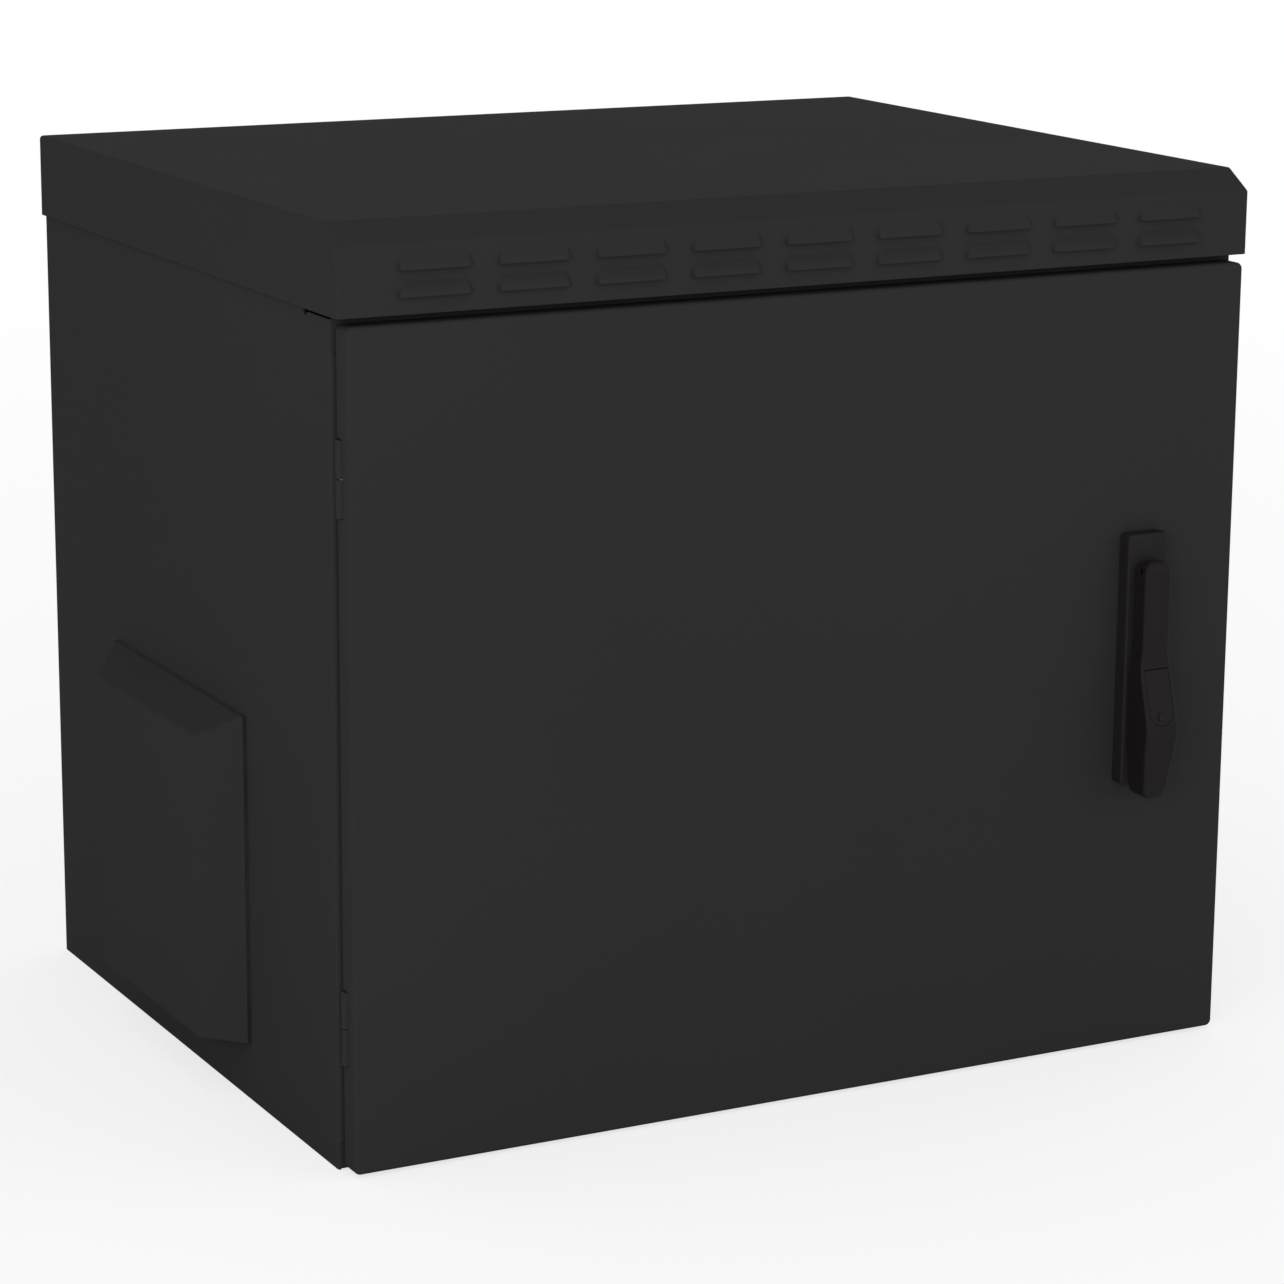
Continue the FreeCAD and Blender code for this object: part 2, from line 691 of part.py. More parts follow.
def plate_blank(z, thick):
    half_x = entry_width / 2 + plate_lap
    half_y = entry_depth / 2 + plate_lap
    corners = [(sx * half_x, entry_y + sy * half_y, plate_corner)
               for sx, sy in ((-1, -1), (1, -1), (1, 1), (-1, 1))]
    blank = outline(corners, in_plan(z)).extrude(V(0, 0, thick))
    for x, y in plate_screw_places():
        blank = blank.cut(rod(screw_radius + bolt_play, V(x, y, z - 1), V(x, y, z + thick + 1)))
    return blank


def gland_plate():
    plate = plate_blank(plate_z, sheet)
    for x in grommet_xs():
        plate = plate.cut(rod(grommet_hole, V(x, entry_y, plate_z - 1), V(x, entry_y, plate_z + sheet + 1)))
    return plate


def plate_gasket():
    return plate_blank(floor_z + sheet, plate_seal).cut(
        box(-entry_width / 2, entry_width / 2, entry_y - entry_depth / 2, entry_y + entry_depth / 2,
            floor_z, plate_z + 1))


def grommet(x):
    """Rubber entry: grooved round the plate hole, with a cone that narrows to the cable."""
    lip, neck, top = grommet_hole + grommet_lip, grommet_hole - grommet_squeeze, plate_z + sheet
    thick = grommet_lip_thick
    profile = [(grommet_bore, plate_z - thick), (lip, plate_z - thick), (lip, plate_z), (neck, plate_z),
               (neck, top), (lip, top), (lip, top + thick), (grommet_bore + thick, top + grommet_cone),
               (grommet_bore, top + grommet_cone), (grommet_bore, plate_z - thick)]
    face = Part.Face(Part.makePolygon([V(x + r, entry_y, z) for r, z in profile]))
    return face.revolve(V(x, entry_y, 0), V(0, 0, 1), 360)


# ---- 19-inch rails and their bars ----------------------------------------------------------------------
def rack_rail(y):
    """Right-hand rail: flange with three square holes a unit, and a web back along the bars."""
    low = rack_mid_z - rail_half
    path = [(rail_x, y), (rail_web_x, y), (rail_web_x, y + rail_web)]
    rail = folded(path[::-1], in_plan(low), V(0, 0, 2 * rail_half), thick=rail_sheet)
    hole_x = rack_hole_centres / 2
    first = rack_mid_z - rack_units * unit / 2
    half = rack_hole / 2
    holes = [box(hole_x - half, hole_x + half, y - 1, y + rail_sheet + 1,
                 first + n * unit + offset - half, first + n * unit + offset + half)
             for n in range(rack_units) for offset in hole_offsets]
    for _, z, _ in bar_places():
        centre = V(rail_web_x, y + rail_web / 2 + rail_sheet, z)
        holes.append(drill(bolt_radius + bolt_play, centre, V(2 * rail_sheet, 0, 0)))
    return rail.cut(Part.makeCompound(holes))


def depth_bar(z, direction):
    """Right-hand bar from the side panel to the rails: foot, shelf and a flange for the rails."""
    y0, y1 = front_y + bar_setback, rear_y - sheet - bar_setback
    shelf = z + direction * bar_foot / 2
    end = z - direction * bar_foot / 2
    path = [(inner_x, end), (inner_x, shelf), (rail_web_x, shelf), (rail_web_x, end)]
    if direction > 0:
        path.reverse()
    bar = folded(path, lambda u, v: V(u, y0, v), V(0, y1 - y0, 0))
    for y in (front_rail_y, rear_rail_y):
        centre = V(rail_web_x, y + rail_web / 2 + rail_sheet, z)
        bar = bar.cut(drill(bolt_radius + bolt_play, centre, V(2 * rail_sheet, 0, 0)))
    for y in stud_ys():
        bar = bar.cut(drill(bolt_radius + bolt_play, V(inner_x, y, z), V(2 * rail_sheet, 0, 0)))
    return bar


def rail_fastenings():
    """Bolt and nut through each rail web and depth bar."""
    bolts, nuts = [], []
    for y in (front_rail_y, rear_rail_y):
        for _, z, _ in bar_places():
            seat = V(rail_web_x - rail_sheet, y + rail_web / 2 + rail_sheet, z)
            grip = rail_sheet + sheet
            head = V(bolt_head, 0, 0)
            bolts.append(hexagon(nut_flats, seat - head, head).fuse(
                rod(bolt_radius, seat, seat + V(grip + nut_height + bolt_tail, 0, 0))))
            far = seat + V(grip, 0, 0)
            nuts.append(hexagon(nut_flats, far, V(nut_height, 0, 0)).cut(
                rod(bolt_radius, far, far + V(nut_height, 0, 0))))
    return bolts, nuts


def bar_fastenings():
    """Weld stud on the side panel and the nut that holds the bar's foot."""
    studs, nuts = [], []
    for y in stud_ys():
        for _, z, _ in bar_places():
            root = V(inner_x, y, z)
            studs.append(rod(bolt_radius, root, root - V(sheet + nut_height + bolt_tail, 0, 0)))
            seat = root - V(sheet, 0, 0)
            nuts.append(hexagon(nut_flats, seat, V(-nut_height, 0, 0)).cut(
                rod(bolt_radius, seat, seat - V(nut_height, 0, 0))))
    return studs, nuts


# ---- Door --------------------------------------------------------------------------------------------
def door_panel():
    """Door pan: skin, four returns and a lip round the back; notched for the hinge knuckles."""
    pan = box(-door_x, door_x, door_front_y, door_back_y, door_low, door_high)
    pan = rounded(pan, door_corner, lambda e: e.BoundBox.YLength > door_thick / 2)
    pan = rounded(pan, bend + sheet,
                  lambda e: e.BoundBox.YMax < door_front_y + 1e-3)
    half_x, low, high = door_x - sheet, door_low + sheet, door_high - sheet
    inside = outline([(x, z, door_corner) for x, z in
                      ((-half_x, low), (half_x, low), (half_x, high), (-half_x, high))], in_front(door_skin_y))
    pan = pan.cut(inside.extrude(V(0, door_thick - 2 * sheet, 0)))
    pan = pan.cut(box(-door_x + door_lip, door_x - door_lip, door_skin_y, door_back_y + 1,
                      door_low + door_lip, door_high - door_lip))
    room = knuckle_radius + hinge_play
    half = hinge_height / 2 + hinge_play
    for z in hinge_zs.values():
        pan = pan.cut(box(-door_x - 1, hinge_x + room, hinge_y - room, door_back_y + 1, z - half, z + half))
    start = V(handle_x, door_front_y - 1, spindle_z)
    pan = pan.cut(rod(head_radius + shaft_play, start, start + V(0, door_thick, 0)))
    for x, z in handle_screw_places():
        pan = pan.cut(rod(screw_radius + bolt_play, V(x, door_front_y - 1, z), V(x, door_skin_y + 1, z)))
    return pan


def handle_screw_places():
    offset = case_height / 2 - case_screw_inset
    return [(handle_x, spindle_z + offset), (handle_x, spindle_z - offset),
            (handle_x, base_mid_z - base_height / 2 + base_screw_inset)]


def door_gasket():
    """Foamed seal in the door, under the rain rim all round."""
    low, high, x = rim_low + sheet / 2, rim_high - sheet / 2, rim_x - sheet / 2
    half = gasket_width / 2
    y0, y1 = door_skin_y, rim_y - seam
    outer = outline([(sx * (x + half), z, gasket_corner) for sx, z in
                     ((-1, low - half), (1, low - half), (1, high + half), (-1, high + half))], in_front(y0))
    inner = outline([(sx * (x - half), z, gasket_corner / 2) for sx, z in
                     ((-1, low + half), (1, low + half), (1, high - half), (-1, high - half))], in_front(y0))
    ring = outer.cut(inner)
    return ring.extrude(V(0, y1 - y0, 0))


def hinge(z):
    """Lift-off hinge: frame leaf below, door leaf above, and the pin fixed in the frame leaf."""
    low, high = z - hinge_height / 2, z + hinge_height / 2
    split = z - hinge_play / 2
    axis_low, axis_split = V(hinge_x, hinge_y, low), V(hinge_x, hinge_y, split)
    frame_leaf = join([
        rod(knuckle_radius, axis_low, axis_split),
        box(hinge_x - knuckle_radius / 2, hinge_x + leaf_reach, front_y - leaf_thick, front_y, low, split),
        box(hinge_x - knuckle_radius / 2, hinge_x + knuckle_radius * 0.8, hinge_y, front_y, low, split)])
    frame_leaf = frame_leaf.cut(rod(pin_radius, axis_low, axis_split))
    pin = rod(pin_radius, axis_low, V(hinge_x, hinge_y, high - hinge_play))
    start = V(hinge_x, hinge_y, split + hinge_play)
    leaf_height = high - split - hinge_play
    skin_x = -door_x + sheet
    path = [(skin_x, hinge_y), (skin_x, door_skin_y), (-rim_x - gasket_width / 2 - 1, door_skin_y)]
    door_leaf = folded(path[::-1], in_plan(start.z), V(0, 0, leaf_height), thick=leaf_thick)
    knuckle = rod(knuckle_radius, start, start + V(0, 0, leaf_height))
    door_leaf = join([door_leaf, knuckle]).cut(rod(pin_radius + running, start, start + V(0, 0, leaf_height)))
    return frame_leaf, pin, door_leaf


# ---- Handle ------------------------------------------------------------------------------------------
def handle_base():
    """Flat escutcheon with rounded corners and edges."""
    half_x, half_z = base_width / 2, base_height / 2
    corners = [(handle_x + sx * half_x, base_mid_z + sz * half_z, base_corner)
               for sx, sz in ((-1, -1), (1, -1), (1, 1), (-1, 1))]
    base = outline(corners, in_front(door_front_y)).extrude(V(0, -base_thick, 0))
    base = rounded(base, base_edge, lambda e: e.BoundBox.YMax < base_y + 1e-3)
    start = V(handle_x, door_front_y + 1, spindle_z)
    base = base.cut(rod(head_radius + running, start, start - V(0, base_thick + 2, 0)))
    for x, z in handle_screw_places():
        base = base.cut(rod(screw_radius, V(x, door_front_y + 1, z), V(x, base_y + base_skin - seam, z)))
    return base


def swivel_head():
    """Round shaft through the base and the lug that carries the lever's pivot pin."""
    inner_end = door_skin_y + seam
    shaft = rod(head_radius, V(handle_x, inner_end, spindle_z), V(handle_x, lever_back_y, spindle_z))
    reach = lever_thick / 2 - lever_wall - seam / 2
    low = spindle_z - head_radius
    side = [(lever_back_y, low, 0), (lever_back_y, pivot_z - lug_shoulder, 0), (pivot_y + reach, pivot_z, 0),
            (pivot_y - reach, pivot_z, 0), (pivot_y - reach, low, 0)]
    lug_half = lug_width / 2
    lug = outline(side, in_side(handle_x - lug_half)).extrude(V(lug_width, 0, 0))
    pivot = V(handle_x, pivot_y, pivot_z)
    nose = drill(reach, pivot, V(lug_half, 0, 0))
    head = join([shaft, lug, nose])
    head = head.cut(drill(pivot_pin_radius + running, pivot, V(lug_width, 0, 0)))
    half = spindle_side / 2
    square = box(handle_x - half, handle_x + half, inner_end - base_thick, inner_end + 1,
                 spindle_z - half, spindle_z + half)
    return head.cut(square)


def spindle():
    half = spindle_side / 2
    inner_end = door_skin_y + seam
    return box(handle_x - half, handle_x + half, inner_end - base_thick,
               door_skin_y + case_depth - case_wall - seam, spindle_z - half, spindle_z + half)


def lever_side_view(top_radius):
    """Side view (y, z): heel rounded about the pivot, straight upper lever, bulged grip."""
    return [(lever_back_y, lever_low, lever_end_round),
            (lever_back_y, pivot_z + top_radius, top_radius),
            (lever_front_y, pivot_z + top_radius, top_radius),
            (lever_front_y, pivot_z - grip_top, grip_foot_round),
            (lever_front_y - grip_bulge, pivot_z - grip_crown, grip_crown_round),
            (lever_front_y - grip_end_bulge, lever_low, 0)]


def lever_front_view():
    """Front view (x, z): round top, slim upper lever, wider grip that tapers to a round end."""
    shoulder = pivot_z - grip_top
    top = pivot_z + lever_thick / 2
    right = [(lever_width / 2, top, lever_corner),
             (lever_width / 2, shoulder + shoulder_run, shoulder_round),
             (grip_width / 2, shoulder - shoulder_run, shoulder_round),
             (grip_width / 2, pivot_z - grip_crown - grip_waist, grip_waist_round),
             (grip_width / 2 - grip_taper, lever_low, lever_foot_corner)]
    left = [(-x, z, r) for x, z, r in right[::-1]]
    return [(handle_x + x, z, r) for x, z, r in right + left]


def on_facet(shape):
    """Put a shape drawn flat (x across, y up, z outwards) on the sloping face of the grip."""
    half_rise = (grip_crown - grip_top) / 2
    centre = V(handle_x, lever_front_y - grip_bulge / 2, pivot_z - grip_top - half_rise)
    turn = FreeCAD.Rotation(V(1, 0, 0), 90 - math.degrees(facet_tilt))
    placed = shape.copy()
    placed.Placement = FreeCAD.Placement(centre, turn).multiply(placed.Placement)
    return placed


cover_length = (grip_crown - grip_top) / math.cos(facet_tilt) * cover_share


def cover_face(grow, z):
    """Flap outline: straight hinge edge on top, half-round below."""
    half = cover_width / 2 + grow
    top, low = cover_length / 2 + grow, -cover_length / 2 - grow
    return outline([(-half, low, half), (half, low, half), (half, top, 0), (-half, top, 0)],
                   in_plan(z))


def handle_lever():
    """Lever: hollow upper arm over the swivel lug, grip with the recess and bore for the lock."""
    front = outline(lever_front_view(), in_front(lever_back_y + 1)).extrude(V(0, -2 * base_width, 0))
    side = outline(lever_side_view(lever_thick / 2), in_side(handle_x - base_width))
    lever = front.common(side.extrude(V(2 * base_width, 0, 0)))
    front_edges = [e for e in lever.Edges if e.BoundBox.YMax < pivot_y and e.BoundBox.ZMax < pivot_z - 1
                   and e.BoundBox.ZLength > 2]
    lever = lever.makeFillet(lever_edge, front_edges)
    hollow_half = lug_width / 2 + seam
    reach = lever_thick / 2 - lever_wall
    arm_low = pivot_z - grip_top + arm_foot
    x0, x1 = handle_x - hollow_half, handle_x + hollow_half
    pivot = V(handle_x, pivot_y, pivot_z)
    lever = lever.cut(join([box(x0, x1, pivot_y - reach, lever_back_y + 1, arm_low, pivot_z),
                            box(x0, x1, pivot_y, lever_back_y + 1, pivot_z, pivot_z + reach),
                            drill(reach, pivot, V(hollow_half, 0, 0))]))
    lever = lever.cut(drill(pivot_pin_radius, pivot, V(base_width, 0, 0)))
    recess = on_facet(cover_face(seam, -cover_thick - seam).extrude(V(0, 0, 10)))
    bore = on_facet(rod(cylinder_radius, V(0, 0, -cylinder_length - cover_thick - seam), V(0, 0, 0)))
    return lever.cut(recess).cut(bore)


def lock_cylinder():
    """Cylinder body in the grip, bored for the plug."""
    top = -cover_thick - 2 * seam
    body = rod(cylinder_radius, V(0, 0, top - cylinder_length + seam), V(0, 0, top))
    bore = rod(plug_radius + running, V(0, 0, top - cylinder_length + cylinder_floor), V(0, 0, top + 1))
    return on_facet(body.cut(bore))


def lock_plug():
    """Plug with the key slot."""
    top = -cover_thick - 2 * seam
    body = rod(plug_radius, V(0, 0, top - cylinder_length + cylinder_floor + seam), V(0, 0, top))
    key = box(-key_width / 2, key_width / 2, -key_height / 2, key_height / 2, top - key_depth, top + 1)
    return on_facet(body.cut(key))


def cylinder_cover():
    """Dust flap over the lock, hinged along its upper edge."""
    flap = cover_face(0, -cover_thick).extrude(V(0, 0, cover_thick))
    top = cover_length / 2
    flap = rounded(flap, cover_thick / 2 - 0.01,
                   lambda e: e.BoundBox.YMin > top - 0.1 and e.BoundBox.XLength > cover_width / 2)
    thumb_y = -cover_length / 2 + cover_width * 0.3
    thumb = rod(cover_width / 6, V(0, thumb_y, -cover_thick / 2), V(0, thumb_y, cover_thick / 2))
    return on_facet(flap.fuse(thumb))


def lever_pin():
    half = lever_width / 2 - pin_inset
    return rod(pivot_pin_radius, V(handle_x - half, pivot_y, pivot_z), V(handle_x + half, pivot_y, pivot_z))


# ---- Lock gear -----------------------------------------------------------------------------------------
def involute(base, angle):
    """Point on the involute of a base circle, by the angle of its roll."""
    return (base * math.hypot(1, angle), angle - math.atan(angle))


def pinion():
    """Spur pinion with involute teeth; one tooth points to +X at rest."""
    alpha = math.radians(gear_angle)
    base = pitch_radius * math.cos(alpha)
    tip = pitch_radius + gear_module
    root = pitch_radius - root_depth * gear_module
    half_tooth = math.pi / (2 * gear_teeth) + math.tan(alpha) - alpha
    roll_end = math.sqrt((tip / base) ** 2 - 1)
    flank = [involute(base, roll_end * k / 5) for k in range(6)]
    points = []
    for tooth in range(gear_teeth):
        middle = 2 * math.pi * tooth / gear_teeth
        rising = [(root, middle - half_tooth)] + [(r, middle - half_tooth + a) for r, a in flank]
        falling = [(r, 2 * middle - a) for r, a in rising[::-1]]
        points += rising + falling
    face_y = gear_y - gear_thick / 2
    ring = [V(handle_x + r * math.cos(a), face_y, spindle_z + r * math.sin(a)) for r, a in points]
    wheel = Part.Face(Part.makePolygon(ring + ring[:1])).extrude(V(0, gear_thick, 0))
    half = spindle_side / 2 + running
    return wheel.cut(box(handle_x - half, handle_x + half, gear_y - gear_thick, gear_y + gear_thick,
                         spindle_z - half, spindle_z + half))


def lock_rod(length):
    """Rod above the pinion, on its +X side: rack teeth that face the pinion, then a plain bar."""
    slope = math.tan(math.radians(gear_angle))
    tip_x, root_x = pitch_radius - gear_module, pitch_radius + root_depth * gear_module
    half_tip = tooth_pitch / 4 - gear_module * slope - tooth_play
    half_root = tooth_pitch / 4 + root_depth * gear_module * slope - tooth_play
    low, high = (rack_first - 0.5) * tooth_pitch, (rack_last + 1.5) * tooth_pitch
    back_x = root_x + rod_width / 2
    profile = [(back_x, low), (root_x, low)]
    for k in range(rack_first, rack_last + 1):
        middle = (k + 0.5) * tooth_pitch
        profile += [(root_x, middle - half_root), (tip_x, middle - half_tip),
                    (tip_x, middle + half_tip), (root_x, middle + half_root)]
    profile += [(root_x, high), (back_x, high)]
    y = gear_y - rod_thick / 2
    ring = [V(handle_x + u, y, spindle_z + w) for u, w in profile]
    rack = Part.Face(Part.makePolygon(ring + ring[:1])).extrude(V(0, rod_thick, 0))
    bar_x = handle_x + back_x - rod_width
    bar = outline([(bar_x, spindle_z + high, 0), (bar_x + rod_width, spindle_z + high, 0),
                   (bar_x + rod_width, spindle_z + length, rod_end_round),
                   (bar_x, spindle_z + length, rod_end_round)], in_front(y))
    return join([rack, bar.extrude(V(0, rod_thick, 0))])


def turned_over(shape):
    """Half a turn about the spindle axis."""
    return shape.rotated(V(handle_x, gear_y, spindle_z), V(0, 1, 0), 180)


def rod_centre_x():
    return pitch_radius + root_depth * gear_module


def lock_case():
    """Gear housing on the back of the door, open where the rods leave it."""
    half_x, half_z = case_width / 2, case_height / 2
    back = door_skin_y + case_depth
    case = box(handle_x - half_x, handle_x + half_x, door_skin_y, back,
               spindle_z - half_z, spindle_z + half_z)
    case = rounded(case, case_round,
                   lambda e: e.BoundBox.YMin > back - 1e-3 or e.BoundBox.YLength > case_depth / 2)
    play = gear_play
    channel_y0, channel_y1 = gear_y - rod_thick / 2 - play, gear_y + rod_thick / 2 + play
    cell = half_z - case_end
    cavity = box(handle_x - pitch_radius - gear_module - play, handle_x + pitch_radius + gear_module + play,
                 gear_y - gear_thick / 2 - play, gear_y + gear_thick / 2 + play,
                 spindle_z - cell, spindle_z + cell)
    case = case.cut(cavity)
    for sign in (-1, 1):
        near, far = pitch_radius - gear_module - 2 * play, rod_centre_x() + rod_width / 2 + play
        xs = sorted((handle_x + sign * near, handle_x + sign * far))
        case = case.cut(box(*xs, channel_y0, channel_y1, spindle_z - half_z - 1, spindle_z + half_z + 1))
    case = case.cut(rod(head_radius + shaft_play, V(handle_x, door_skin_y - 1, spindle_z),
                        V(handle_x, gear_y, spindle_z)))
    end = V(handle_x, back - case_wall, spindle_z)
    case = case.cut(rod(spindle_side * 0.75, V(handle_x, gear_y, spindle_z), end))
    for x, z in handle_screw_places()[:2]:
        case = case.cut(rod(screw_radius + bolt_play, V(x, door_skin_y - 1, z), V(x, back + 1, z)))
    return case


def rod_guide(x, z):
    """Guide block on the door, with a slot that the rod slides in."""
    play = gear_play
    half_x, half_z = rod_width / 2 + guide_wall, guide_height / 2
    top = gear_y + rod_thick / 2 + guide_cover
    guide = box(x - half_x, x + half_x, door_skin_y, top, z - half_z, z + half_z)
    guide = rounded(guide, guide_round,
                    lambda e: e.BoundBox.YMin > top - 1e-3 and e.BoundBox.ZLength > half_z)
    return guide.cut(box(x - rod_width / 2 - play, x + rod_width / 2 + play, gear_y - rod_thick / 2 - play,
                         gear_y + rod_thick / 2 + play, z - half_z - 1, z + half_z + 1))


def handle_screws():
    back = V(0, 1, 0)
    grip = base_thick - base_skin
    through_case = case_depth + sheet + grip
    places = handle_screw_places()
    screws = [screw(V(x, door_skin_y + case_depth, z), back, through_case) for x, z in places[:2]]
    x, z = places[2]
    return screws + [screw(V(x, door_skin_y, z), back, sheet + grip)]


# ---- Assembly ------------------------------------------------------------------------------------------
def group(shapes):
    return Part.makeCompound(shapes)


def both_sides(name, shape, side="left"):
    other = "right" if side == "left" else "left"
    parts[name.replace("SIDE", side)] = shape
    parts[name.replace("SIDE", other)] = mirrored(shape)


def build_case():
    both_sides("side_panel_SIDE", side_panel())
    parts["rear_panel"] = rear_panel()
    parts["base_panel"] = base_panel()
    parts["top_panel"] = top_panel()
    parts["wall_rail_lower"] = wall_rail(-fixing_height / 2)
    parts["wall_rail_upper"] = wall_rail(fixing_height / 2)


def build_roof():
    parts["roof_cap"] = roof_cap()
    both_sides("roof_bracket_SIDE", roof_bracket(), side="right")
    shank = 3 * sheet + screw_tail
    parts["roof_screws"] = group([screw(V(x, y, top_z - sheet), V(0, 0, -1), shank)
                                  for x, y in roof_screw_places()])
    half_x = ((top_vent_columns - 1) * top_vent_pitch + top_vent_slot) / 2 + filter_margin
    half_y = (top_vent_row_gap + top_vent_width) / 2 + filter_margin
    parts["roof_filter_mat"] = box(-half_x, half_x, top_vent_y - half_y, top_vent_y + half_y,
                                   top_z, top_z + filter_thick)


def build_vents():
    both_sides("vent_hood_SIDE", vent_hood())
    both_sides("hood_gasket_SIDE", hood_gasket())
    both_sides("filter_mat_SIDE", filter_mat())
    both_sides("filter_frame_SIDE", filter_frame())
    grip = sheet + hood_seal + sheet + seam
    left = [screw(V(-inner_x, y, z), V(1, 0, 0), grip) for y, z in hood_screw_places()]
    parts["hood_screws"] = group(left + [mirrored(s) for s in left])


def build_entry():
    parts["gland_plate"] = gland_plate()
    parts["gland_plate_gasket"] = plate_gasket()
    parts["cable_grommets"] = group([grommet(x) for x in grommet_xs()])
    grip = sheet + plate_seal + sheet - seam
    parts["gland_plate_screws"] = group([screw(V(x, y, plate_z + sheet), V(0, 0, 1), grip)
                                         for x, y in plate_screw_places()])
    foot = V(-side_x + earth_inset, rear_y - earth_inset, floor_z + sheet)
    parts["earth_stud"] = rod(earth_radius, foot, foot + V(0, 0, earth_length))
    nut = hexagon(earth_nut_flats, foot, V(0, 0, earth_nut_height))
    parts["earth_nut"] = nut.cut(rod(earth_radius, foot, foot + V(0, 0, earth_length)))


def build_rack():
    for name, y in (("front", front_rail_y), ("rear", rear_rail_y)):
        both_sides("rack_rail_" + name + "_SIDE", rack_rail(y), side="right")
    for name, z, direction in bar_places():
        both_sides("depth_bar_" + name + "_SIDE", depth_bar(z, direction), side="right")
    bolts, rail_nuts = rail_fastenings()
    studs, bar_nuts = bar_fastenings()
    for name, pieces in (("rail_bolts", bolts), ("bar_studs", studs), ("rack_nuts", rail_nuts + bar_nuts)):
        parts[name] = group(pieces + [mirrored(p) for p in pieces])


def build_door():
    parts["door_panel"] = door_panel()
    parts["door_gasket"] = door_gasket()
    pins = []
    for name, z in hinge_zs.items():
        frame_leaf, pin, door_leaf = hinge(z)
        parts["hinge_frame_leaf_" + name] = frame_leaf
        parts["hinge_door_leaf_" + name] = door_leaf
        pins.append(pin)
    parts["hinge_pins"] = group(pins)


def build_handle():
    parts["handle_base"] = handle_base()
    parts["swivel_head"] = swivel_head()
    parts["spindle"] = spindle()
    parts["handle_lever"] = handle_lever()
    parts["lever_pin"] = lever_pin()
    parts["lock_cylinder"] = lock_cylinder()
    parts["lock_plug"] = lock_plug()
    parts["cylinder_cover"] = cylinder_cover()
    parts["handle_screws"] = group(handle_screws())


def build_lock():
    parts["lock_case"] = lock_case()
    parts["lock_pinion"] = pinion()
    upper = rim_high - sheet - rod_end_gap - spindle_z
    lower = spindle_z - rim_low - sheet - rod_end_gap
    parts["lock_rod_upper"] = lock_rod(upper)
    parts["lock_rod_lower"] = turned_over(lock_rod(lower))
    parts["rod_guide_upper"] = rod_guide(handle_x + rod_centre_x(), rim_high - guide_from_end)
    parts["rod_guide_lower"] = rod_guide(handle_x - rod_centre_x(), rim_low + guide_from_end)


for build in (build_case, build_roof, build_vents, build_entry,
              build_rack, build_door, build_handle, build_lock):
    build()

os.makedirs("parts", exist_ok=True)
for name, shape in parts.items():
    shape.exportStep("parts/" + name + ".step")
print(len(parts), "nodes")
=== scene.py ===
"""Dresses the wall mount network cabinet: powder coat, zinc, rubber, filter fleece and the studio."""
import json
import math

import bmesh
import bpy
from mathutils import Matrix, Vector, noise


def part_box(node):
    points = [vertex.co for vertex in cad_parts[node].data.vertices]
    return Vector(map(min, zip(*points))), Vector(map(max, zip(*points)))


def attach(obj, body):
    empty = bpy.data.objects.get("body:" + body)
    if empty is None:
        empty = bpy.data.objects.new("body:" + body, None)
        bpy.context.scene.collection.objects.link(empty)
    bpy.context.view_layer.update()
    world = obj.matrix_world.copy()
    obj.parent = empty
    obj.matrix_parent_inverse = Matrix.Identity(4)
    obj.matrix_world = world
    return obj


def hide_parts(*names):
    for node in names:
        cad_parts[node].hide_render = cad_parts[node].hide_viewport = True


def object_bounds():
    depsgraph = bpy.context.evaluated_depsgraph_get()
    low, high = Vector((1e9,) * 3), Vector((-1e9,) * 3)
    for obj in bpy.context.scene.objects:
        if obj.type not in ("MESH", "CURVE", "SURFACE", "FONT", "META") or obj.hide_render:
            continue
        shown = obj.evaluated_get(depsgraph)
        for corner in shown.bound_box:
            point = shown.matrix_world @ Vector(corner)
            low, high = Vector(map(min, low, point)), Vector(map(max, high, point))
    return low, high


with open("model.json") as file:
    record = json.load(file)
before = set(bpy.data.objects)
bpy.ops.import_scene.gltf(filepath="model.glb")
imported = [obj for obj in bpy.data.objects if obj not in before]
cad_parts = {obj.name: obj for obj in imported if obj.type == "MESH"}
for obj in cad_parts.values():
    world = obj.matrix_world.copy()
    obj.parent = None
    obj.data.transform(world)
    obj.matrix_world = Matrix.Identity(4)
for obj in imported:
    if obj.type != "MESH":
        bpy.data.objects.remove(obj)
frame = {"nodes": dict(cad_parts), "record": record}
nodes = frame["nodes"]
cad_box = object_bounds()
MM = 0.001

# Soft pieces
FLEECE_CELL = 4 * MM          # side of one square of the mat's mesh
FLEECE_PULL = 0.9 * MM        # how far its edges and hollows draw in
FLEECE_GRAIN = 9 * MM         # size of one hollow
SKIN = 0.49                   # a unit cube's points past this lie on a face
BEAD_WIDTH = 10 * MM
BEAD_FOOT = 0.25              # flat-sided share of the bead's height
BEAD_INSET = 0.3 * MM         # from the solid's edge to the bead's foot
BEAD_CORNER = 6 * MM
BEAD_WAVER = 0.05             # largest loss of width, as a share
WAVER_LENGTH = 20 * MM

# Shaders
EDGE_SAMPLES = 6
SHARP_COSINE = 0.75           # cosine between flat and rounded normal at which an edge is fully marked
WAVE_LENGTH = 0.314           # period of the wave texture at scale 1, in metres

